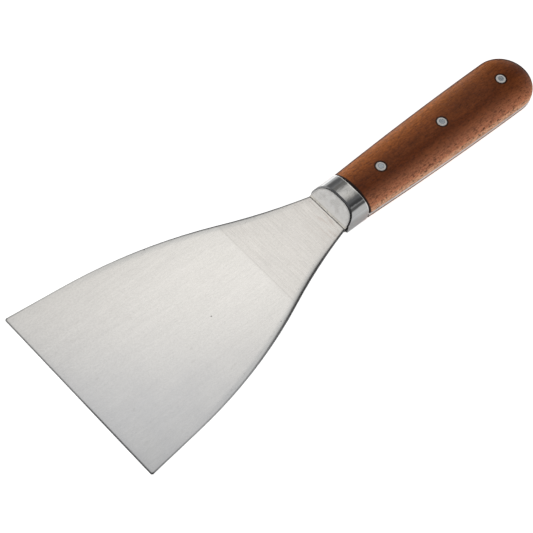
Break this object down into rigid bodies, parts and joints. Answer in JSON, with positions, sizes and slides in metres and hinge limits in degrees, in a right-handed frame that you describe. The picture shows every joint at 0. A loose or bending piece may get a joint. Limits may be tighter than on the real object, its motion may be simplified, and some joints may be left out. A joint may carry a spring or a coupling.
{
  "type": "taping and filling knife",
  "caption": "Flared flat steel blade with a straight working edge, wedge-faced bolster in an oval ferrule band, full tang and crowned hardwood scales held by rivets.",
  "frame": {"origin": "middle of the working edge's narrow end face, halfway through the blade's thickness", "axes": "+X runs from the working edge along the knife to the butt, +Z is normal to the blade's upper face, +Y completes the right-handed set across the blade"},
  "size_m": [0.29, 0.0998, 0.019],
  "materials": {
    "blade_steel": "ground and brushed",
    "bolster_steel": "satin ground",
    "band_steel": "polished",
    "hardwood": "satin oiled",
    "rivet_sleeve": "satin",
    "rivet_core": "satin"
  },
  "bodies": {
    "root": {"blade": "blade_steel", "bolster_top": "bolster_steel", "bolster_bottom": "bolster_steel", "ferrule_band": "band_steel", "handle_scale_top": "hardwood", "handle_scale_bottom": "hardwood", "rivet_sleeve_1": "rivet_sleeve", "rivet_sleeve_2": "rivet_sleeve", "rivet_sleeve_3": "rivet_sleeve", "rivet_core_1": "rivet_core", "rivet_core_2": "rivet_core", "rivet_core_3": "rivet_core"}
  },
  "joints": []
}
